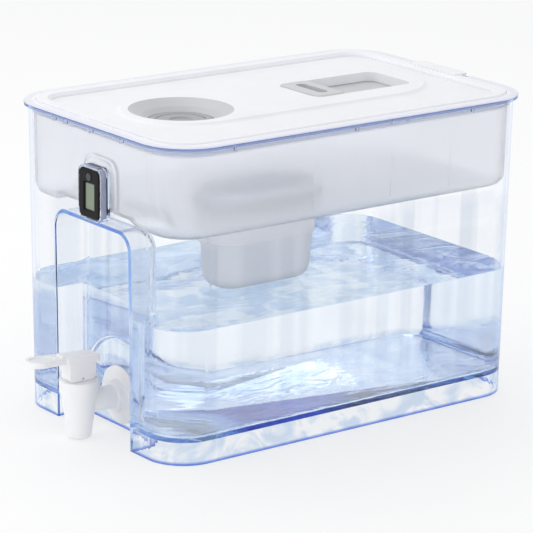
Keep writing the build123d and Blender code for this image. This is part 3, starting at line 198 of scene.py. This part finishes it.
# It lies a hair under the ground, so that no face of the foot shares its plane
hair = 0.0004
worktop.location.z = -hair
material, tree, shader, output = new_material("white worktop")
worktop_mesh.materials.append(material)
shader.inputs["Base Color"].default_value = (0.97, 0.97, 0.97, 1)
shader.inputs["Roughness"].default_value = 0.6
glow = tree.nodes.new("ShaderNodeEmission")
glow.inputs["Strength"].default_value = 1.0
# Part of its white glows, so that it stays white to the lens and through the clear walls
glow_to_lens = 0.62
glow_through_clear = 0.76
ray = tree.nodes.new("ShaderNodeLightPath").outputs
in_clear = calculate(tree, "MAXIMUM", ray["Is Transmission Ray"], ray["Is Glossy Ray"])
straight = calculate(tree, "MULTIPLY", ray["Is Camera Ray"], glow_to_lens)
share = calculate(tree, "MULTIPLY_ADD", in_clear, glow_through_clear, straight)
share_surface(tree, share, shader, glow, output)

# ---- Clear tank and indicator holder ----------------------------------------------------
# Injection-moulded clear plastic with a faint blue tint, which shows only where one looks
# along a wall. The holder is a separate moulding, glued into the tank's front wall.


def smooth(piece, angle=28.0):
    """Curved faces read as curved, and edges sharper than the angle stay crisp."""
    mesh = piece.data
    mesh.shade_smooth()
    mesh.set_sharp_from_angle(angle=math.radians(angle))


def dress(names, material):
    """Gives the named nodes one finish."""
    for name in names:
        smooth(node[name])
        node[name].data.materials.clear()
        node[name].data.materials.append(material)


def let_light_through(tree, shader, output, tint):
    """Shadow rays pass a clear piece, as they would pass the real one."""
    ray = tree.nodes.new("ShaderNodeLightPath").outputs
    open_way = tree.nodes.new("ShaderNodeBsdfTransparent")
    open_way.inputs["Color"].default_value = (*tint, 1)
    share_surface(tree, ray["Is Shadow Ray"], shader, open_way, output)


def absorb(tree, output, color, density):
    """Light that travels inside a clear piece takes its tint."""
    tint = tree.nodes.new("ShaderNodeVolumeAbsorption")
    tint.inputs["Color"].default_value = (*color, 1)
    tint.inputs["Density"].default_value = density
    tree.links.new(tint.outputs[0], output.inputs["Volume"])


def tint_edges(tree, shader, face, turned, edge, start):
    """Looked at along its skin, a clear or milky piece takes the tint of its depth."""
    turn = tree.nodes.new("ShaderNodeLayerWeight")
    turn.inputs["Blend"].default_value = 0.5
    shade = color_steps(tree, turn.outputs["Facing"], (start, face), ((1 + start) / 2, turned), (1.0, edge))
    tree.links.new(shade, shader.inputs["Base Color"])


def places(tree):
    """Where a point lies on its object: as one vector, and along each axis."""
    spot = tree.nodes.new("ShaderNodeTexCoord").outputs["Object"]
    apart = tree.nodes.new("ShaderNodeSeparateXYZ")
    tree.links.new(spot, apart.inputs[0])
    return spot, apart.outputs


def stretched(tree, vector, scale):
    """A vector scaled along each axis."""
    stretch = tree.nodes.new("ShaderNodeMapping")
    stretch.inputs["Scale"].default_value = scale
    tree.links.new(vector, stretch.inputs["Vector"])
    return stretch.outputs["Vector"]


def noise(tree, vector, scale, detail=2.0, distortion=0.0):
    """Smooth noise between 0 and 1."""
    texture = tree.nodes.new("ShaderNodeTexNoise")
    texture.inputs["Scale"].default_value = scale
    texture.inputs["Detail"].default_value = detail
    texture.inputs["Distortion"].default_value = distortion
    tree.links.new(vector, texture.inputs["Vector"])
    return texture.outputs[0]


def spread(tree, value, start, end, to_start=0.0, to_end=1.0):
    """Carries one range of values over to another."""
    carried = tree.nodes.new("ShaderNodeMapRange")
    carried.inputs["From Min"].default_value = start
    carried.inputs["From Max"].default_value = end
    carried.inputs["To Min"].default_value = to_start
    carried.inputs["To Max"].default_value = to_end
    tree.links.new(value, carried.inputs["Value"])
    return carried.outputs[0]


def lay_over(tree, shader, amount, color, how="MULTIPLY"):
    """Lays a colour over the one that the shader has so far."""
    mix = tree.nodes.new("ShaderNodeMix")
    mix.data_type = "RGBA"
    mix.blend_type = how
    feed(tree, mix.inputs[0], amount)
    tree.links.new(shader.inputs["Base Color"].links[0].from_socket, mix.inputs[6])
    feed(tree, mix.inputs[7], color)
    tree.links.new(mix.outputs[2], shader.inputs["Base Color"])


def bump(tree, shader, height, distance, sunken=False):
    """Fine relief that follows a height."""
    relief = tree.nodes.new("ShaderNodeBump")
    relief.invert = sunken
    relief.inputs["Distance"].default_value = distance
    tree.links.new(height, relief.inputs["Height"])
    tree.links.new(relief.outputs["Normal"], shader.inputs["Normal"])


def clear_plastic(name):
    """Clear plastic with a faint blue tint through its depth."""
    material, tree, shader, output = new_material(name)
    tint_edges(tree, shader, (0.996, 0.998, 1.0), (0.62, 0.74, 0.97), (0.03, 0.13, 0.68), 0.64)
    shader.inputs["Roughness"].default_value = 0.015
    shader.inputs["IOR"].default_value = 1.49
    shader.inputs["Transmission Weight"].default_value = 1.0
    let_light_through(tree, shader, output, (0.95, 0.965, 0.985))
    absorb(tree, output, (0.05, 0.48, 0.95), 8.0)
    return material, tree, shader


dress(["indicator_holder"], clear_plastic("clear plastic")[0])

tank_plastic, tree, shader = clear_plastic("tank plastic")
# Soft upright streaks are painted into the colour of the walls below the reservoir: painted reflections of
# the studio's flags
spot, along = places(tree)
painted_streak_noise = noise(tree, stretched(tree, spot, (42.0, 42.0, 0.5)), 1.0, 1.5)
painted_streaks = color_steps(tree, painted_streak_noise, (0.40, (0.90, 0.915, 0.94)), (0.47, (1, 1, 1)))
below_reservoir = spread(tree, along["Z"], 0.176, 0.166)
near_floor = spread(tree, along["Z"], 0.045, 0.022)
lay_over(tree, shader, calculate(tree, "SUBTRACT", below_reservoir, near_floor), painted_streaks)
# Deep blue bands are painted on the rim's lip and the foot's lower edge: painted light, standing in for the
# tinted light that the walls gather into these edges
rim_top = 0.250
painted_edge_light = color_steps(
    tree, spread(tree, along["Z"], 0.0, rim_top),
    (0.004, (0.20, 0.32, 0.80)), (0.010, (1, 1, 1)), (0.986, (1, 1, 1)),
    (0.989, (0.66, 0.74, 0.93)), (0.993, (0.60, 0.69, 0.92)), (0.995, (0.24, 0.35, 0.80)),
)
lay_over(tree, shader, 1.0, painted_edge_light)
# The floor and the foot are uneven from the mould. Blue patches painted into the foot's colour are painted
# caustics, as if seen on the worktop through it
relief_and_painted_caustics = noise(tree, spot, 30.0, 3.0, 1.5)
bump(tree, shader, calculate(tree, "MULTIPLY", relief_and_painted_caustics, near_floor), 0.0006)
painted_caustics = color_steps(tree, relief_and_painted_caustics, (0.42, (0.68, 0.78, 0.91)), (0.58, (1, 1, 1)))
lay_over(tree, shader, spread(tree, along["Z"], 0.0260, 0.0212), painted_caustics)
dress(["tank"], tank_plastic)

# ---- Frosted reservoir and filter well --------------------------------------------------
# Milky plastic with a fine sandblasted skin. It hangs by its flange in the tank's mouth,
# and the well is snapped into its floor.
frosted_plastic, tree, shader, output = new_material("frosted plastic")
tint_edges(tree, shader, (0.996, 0.992, 1.0), (0.91, 0.92, 0.995), (0.46, 0.54, 0.90), 0.78)
shader.inputs["Roughness"].default_value = 0.29
shader.inputs["IOR"].default_value = 1.2
let_light_through(tree, shader, output, (0.98, 0.98, 0.99))
# The flange is thick, so it is whiter than the walls
wall_clearness = 0.87
flange_clearness = 0.25
spot, along = places(tree)
clearness = spread(tree, along["Z"], 0.2465, 0.2495, wall_clearness, flange_clearness)
tree.links.new(clearness, shader.inputs["Transmission Weight"])
# The band of cells under the flange is painted darker: painted shade, for the shade in the cells' recesses
painted_cell_shade = (0.80, 0.83, 0.90)
painted_shade_band = color_steps(
    tree, spread(tree, along["Z"], 0.2400, 0.2500),
    (0.20, (1, 1, 1)), (0.26, painted_cell_shade), (0.70, painted_cell_shade), (0.74, (1, 1, 1)),
)
lay_over(tree, shader, 1.0, painted_shade_band)
bump(tree, shader, noise(tree, spot, 900.0), 0.00002)
dress(["reservoir"], frosted_plastic)

milky_plastic, tree, shader, output = new_material("milky plastic")
tint_edges(tree, shader, (0.985, 0.98, 0.99), (0.90, 0.92, 0.98), (0.62, 0.68, 0.90), 0.78)
shader.inputs["Roughness"].default_value = 0.35
shader.inputs["IOR"].default_value = 1.25
shader.inputs["Transmission Weight"].default_value = 0.45
let_light_through(tree, shader, output, (0.9, 0.9, 0.94))
dress(["filter_well"], milky_plastic)

# ---- Filter cartridge -------------------------------------------------------------------
# A white tub with a slotted cap and a bow handle. Inside lie felt screens, ion-exchange
# resin beads and activated carbon grains.


def moulded(name, color, roughness, grain=0.0006, depth=0.00002, mottle=0.02):
    """Opaque plastic or rubber: a fine mould grain, and gloss and colour that vary a little."""
    material, tree, shader, output = new_material(name)
    spot = tree.nodes.new("ShaderNodeTexCoord").outputs["Object"]
    broad = noise(tree, spot, 38.0, 4.0)
    darker = [c * (1 - mottle) for c in color]
    lighter = [min(1, c * (1 + mottle)) for c in color]
    tree.links.new(color_steps(tree, broad, (0.3, darker), (0.7, lighter)), shader.inputs["Base Color"])
    gloss = spread(tree, broad, 0.3, 0.7, roughness * 0.85, roughness * 1.15)
    tree.links.new(gloss, shader.inputs["Roughness"])
    bump(tree, shader, noise(tree, spot, 1 / grain), depth)
    return material


dress(["filter_shell", "filter_cap"], moulded("filter plastic", (0.84, 0.85, 0.89), 0.45))


def grains(name, dark, light, size, roughness):
    """Packed grains: each has a colour of its own, and the surface is lumpy."""
    material, tree, shader, output = new_material(name)
    spot = tree.nodes.new("ShaderNodeTexCoord").outputs["Object"]
    cells = tree.nodes.new("ShaderNodeTexVoronoi")
    cells.inputs["Scale"].default_value = 1 / size
    tree.links.new(spot, cells.inputs["Vector"])
    apart = tree.nodes.new("ShaderNodeSeparateColor")
    tree.links.new(cells.outputs["Color"], apart.inputs[0])
    shade = color_steps(tree, apart.outputs[0], (0.0, dark), (1.0, light))
    tree.links.new(shade, shader.inputs["Base Color"])
    bump(tree, shader, cells.outputs["Distance"], size / 2, sunken=True)
    shader.inputs["Roughness"].default_value = roughness
    return material


dress(["carbon_bed"], grains("carbon grains", (0.012, 0.012, 0.014), (0.05, 0.05, 0.055), 0.0012, 0.5))
dress(["resin_bed"], grains("resin beads", (0.45, 0.3, 0.12), (0.8, 0.64, 0.36), 0.0007, 0.25))
felt = grains("felt", (0.7, 0.7, 0.68), (0.88, 0.88, 0.85), 0.0003, 0.9)
dress(["lower_screen", "middle_screen", "upper_screen"], felt)

# ---- Lid, refill door and port cap ------------------------------------------------------
# White plastic pressings with a satin skin. The door slides under the lid's tray, and a
# greyer cap lies in the round port.
lid_plastic = moulded("lid plastic", (0.86, 0.865, 0.89), 0.38)
tree = lid_plastic.node_tree
shader = tree.nodes["Principled BSDF"]
# The port's mouth is painted a darker grey: painted shade, for the shade in its hollow
port_centre = (0.0, -0.0905, 0.0)
mouth_radius = 0.0415
painted_mouth_shade = (0.54, 0.54, 0.56, 1)
spot, along = places(tree)
level = tree.nodes.new("ShaderNodeCombineXYZ")
tree.links.new(along["X"], level.inputs["X"])
tree.links.new(along["Y"], level.inputs["Y"])
off_centre = tree.nodes.new("ShaderNodeVectorMath")
off_centre.operation = "DISTANCE"
off_centre.inputs[1].default_value = port_centre
tree.links.new(level.outputs[0], off_centre.inputs[0])
in_mouth = calculate(tree, "LESS_THAN", off_centre.outputs["Value"], mouth_radius)
lay_over(tree, shader, in_mouth, painted_mouth_shade, "MIX")
dress(["lid"], lid_plastic)
dress(["refill_door"], moulded("refill door plastic", (0.58, 0.58, 0.60), 0.4))
dress(["port_cap"], moulded("port cap plastic", (0.36, 0.36, 0.38), 0.4))

# ---- Tap --------------------------------------------------------------------------------
# A white moulded lever tap. Rubber gaskets and a nut hold it in the niche's wall, and a
# steel spring and a rubber plug close it.
tap_plastic = moulded("tap plastic", (0.93, 0.925, 0.93), 0.33)
dress(["tap_body", "tap_bonnet", "tap_lever", "tap_nut", "valve_stem"], tap_plastic)

seal_rubber = moulded("seal rubber", (0.72, 0.73, 0.75), 0.7, 0.0004, 0.00004, 0.04)
dress(["well_gasket", "filter_seal", "outer_gasket", "inner_gasket", "valve_plug"], seal_rubber)

# Drawn and rolled steel has fine lines along it
steel, tree, shader, output = new_material("spring steel")
shader.inputs["Base Color"].default_value = (0.62, 0.62, 0.63, 1)
shader.inputs["Metallic"].default_value = 1.0
spot = tree.nodes.new("ShaderNodeTexCoord").outputs["Object"]
lines = noise(tree, stretched(tree, spot, (4000.0, 300.0, 4000.0)), 1.0)
tree.links.new(spread(tree, lines, 0.0, 1.0, 0.18, 0.42), shader.inputs["Roughness"])
dress(["lever_pin", "battery_clip", "coin_cell"], steel)

# The spring is a coil of its own, so that it can shorten as the lever lifts the stem
spring_low, spring_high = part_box("valve_spring")
wire = 0.0005
spring_turns = 5
points_in_a_turn = 20
middle_x = (spring_low[0] + spring_high[0]) / 2
middle_y = (spring_low[1] + spring_high[1]) / 2
coil_radius = (spring_high[0] - spring_low[0]) / 2 - wire
coil_foot = spring_low[2] + wire
coil_height = spring_high[2] - spring_low[2] - 2 * wire
coil_line = bpy.data.curves.new("coil line", "CURVE")
coil_line.dimensions = "3D"
coil_line.bevel_depth = wire
coil_line.bevel_resolution = 3
coil_line.use_fill_caps = True
turns = coil_line.splines.new("POLY")
coil_steps = spring_turns * points_in_a_turn
turns.points.add(coil_steps)
for i in range(coil_steps + 1):
    angle = 2 * math.pi * i / points_in_a_turn
    turns.points[i].co = (
        middle_x + coil_radius * math.cos(angle),
        middle_y + coil_radius * math.sin(angle),
        coil_foot + coil_height * i / coil_steps,
        1,
    )
coil_curve = bpy.data.objects.new("coil line", coil_line)
scene.collection.objects.link(coil_curve)
bpy.context.view_layer.update()
coil_mesh = bpy.data.meshes.new_from_object(coil_curve)
bpy.data.objects.remove(coil_curve)
coil = bpy.data.objects.new("valve_coil", coil_mesh)
scene.collection.objects.link(coil)
smooth(coil, 60.0)
coil_mesh.materials.clear()
coil_mesh.materials.append(steel)
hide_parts("valve_spring")
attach(coil, "tank")
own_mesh(coil)

# ---- Indicator --------------------------------------------------------------------------
# A small black module with one button and a liquid-crystal display behind a framed
# window. A board, a switch and a coin cell are inside.
black_plastic = moulded("black plastic", (0.005, 0.005, 0.007), 0.18, 0.0005, 0.000008, 0.1)
black_plastic.node_tree.nodes["Principled BSDF"].inputs["Specular IOR Level"].default_value = 0.12
dress(["indicator_face", "battery_cover", "button_switch"], black_plastic)
dress(["indicator_case"], moulded("case plastic", (0.42, 0.44, 0.60), 0.3))
dress(["indicator_button"], moulded("button plastic", (0.03, 0.03, 0.035), 0.3, 0.0003, 0.00003, 0.1))

dress(["display"], moulded("display", (0.21, 0.26, 0.19), 0.12, 0.0004, 0.000005, 0.05))
dress(["circuit_board"], moulded("board lacquer", (0.02, 0.12, 0.05), 0.35, 0.0003, 0.00001, 0.15))

# ---- Water ------------------------------------------------------------------------------
# Filtered water fills the tank to just under the filter. It is poured to the tank's own
# inner walls and wets them.
water_level = 0.107
rim_half = Vector((0.115, 0.180))
water_inset = 0.0012
lip_reach = 0.0036
wall_lean = 0.00365
rim_height = 0.2495
rim_corner = 0.040
niche_half = 0.0505 + water_inset
niche_front = -0.149 + water_inset
corner_steps = 14
water_foot = 0.0195
same_place = 0.00001
at_surface = 0.0001
surface_skin = 0.0005


def tank_outline(height):
    """The middle of the tank's wall at a height, with the niche cut out of one end."""
    step = lip_reach + wall_lean * (1 - height / rim_height) + water_inset
    half_x = rim_half.x - step
    half_y = rim_half.y - step
    radius = rim_corner - step
    points = []
    for cx, cy, start in ((1, 1, 0), (-1, 1, 90), (-1, -1, 180), (1, -1, 270)):
        for i in range(corner_steps + 1):
            angle = math.radians(start + 90 * i / corner_steps)
            points.append((
                cx * (half_x - radius) + radius * math.cos(angle),
                cy * (half_y - radius) + radius * math.sin(angle),
                height,
            ))
        if (cx, cy) == (-1, -1):
            points += [
                (-niche_half, -half_y, height),
                (-niche_half, niche_front, height),
                (niche_half, niche_front, height),
                (niche_half, -half_y, height),
            ]
    return points


low_ring = tank_outline(water_foot)
high_ring = tank_outline(water_level)
count = len(low_ring)
water_mesh = bpy.data.meshes.new("water")
water_mesh.from_pydata(
    low_ring + high_ring,
    [],
    [tuple(reversed(range(count))), tuple(range(count, 2 * count))]
    + [(i, (i + 1) % count, (i + 1) % count + count, i + count) for i in range(count)],
)
water = bpy.data.objects.new("water", water_mesh)
scene.collection.objects.link(water)

walls_cut = water.modifiers.new("walls", "BOOLEAN")
walls_cut.operation = "DIFFERENCE"
walls_cut.solver = "EXACT"
walls_cut.object = node["tank"]
bpy.context.view_layer.update()
cut_mesh = bpy.data.meshes.new_from_object(water.evaluated_get(bpy.context.evaluated_depsgraph_get()))
water.modifiers.clear()
water.data = cut_mesh

body_of_water = bmesh.new()
body_of_water.from_mesh(cut_mesh)
bmesh.ops.remove_doubles(body_of_water, verts=body_of_water.verts, dist=same_place)
left = set(body_of_water.verts)
pools = []
while left:
    pool = {left.pop()}
    edge_of_pool = list(pool)
    while edge_of_pool:
        for edge in edge_of_pool.pop().link_edges:
            for vert in edge.verts:
                if vert in left:
                    left.remove(vert)
                    pool.add(vert)
                    edge_of_pool.append(vert)
    pools.append(pool)
pools.sort(key=len)
bmesh.ops.delete(body_of_water, geom=[v for pool in pools[:-1] for v in pool], context="VERTS")
body_of_water.normal_update()
# The water reaches a little into the walls, so that no film of air lies between them
wetting = 0.00012
for vert in body_of_water.verts:
    if vert.co.z < water_level - at_surface:
        vert.co += vert.normal * wetting
    else:
        vert.co += Vector((vert.normal.x, vert.normal.y, 0)) * wetting
body_of_water.to_mesh(cut_mesh)
body_of_water.free()
smooth(water)

clear_water, tree, shader, output = new_material("water")
shader.inputs["Roughness"].default_value = 0.0
shader.inputs["IOR"].default_value = 1.333
shader.inputs["Transmission Weight"].default_value = 1.0
let_light_through(tree, shader, output, (0.95, 0.975, 1.0))
absorb(tree, output, (0.50, 0.75, 0.95), 0.3)
# Long low ripples, on the water's top face alone
spot, along = places(tree)
swell = noise(tree, stretched(tree, spot, (26.0, 11.0, 1.0)), 1.0, 2.5, 1.4)
top_face = calculate(tree, "GREATER_THAN", along["Z"], water_level - surface_skin)
bump(tree, shader, calculate(tree, "MULTIPLY", swell, top_face), 0.0018)
# The top face alone is painted pale blue: a painted reflection on the water's surface
surface = tree.nodes.new("ShaderNodeMix")
surface.data_type = "RGBA"
surface.inputs[6].default_value = (0.98, 0.99, 1.0, 1)
surface.inputs[7].default_value = (0.74, 0.86, 0.97, 1)
tree.links.new(top_face, surface.inputs[0])
tree.links.new(surface.outputs[2], shader.inputs["Base Color"])
cut_mesh.materials.clear()
cut_mesh.materials.append(clear_water)
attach(water, "tank")
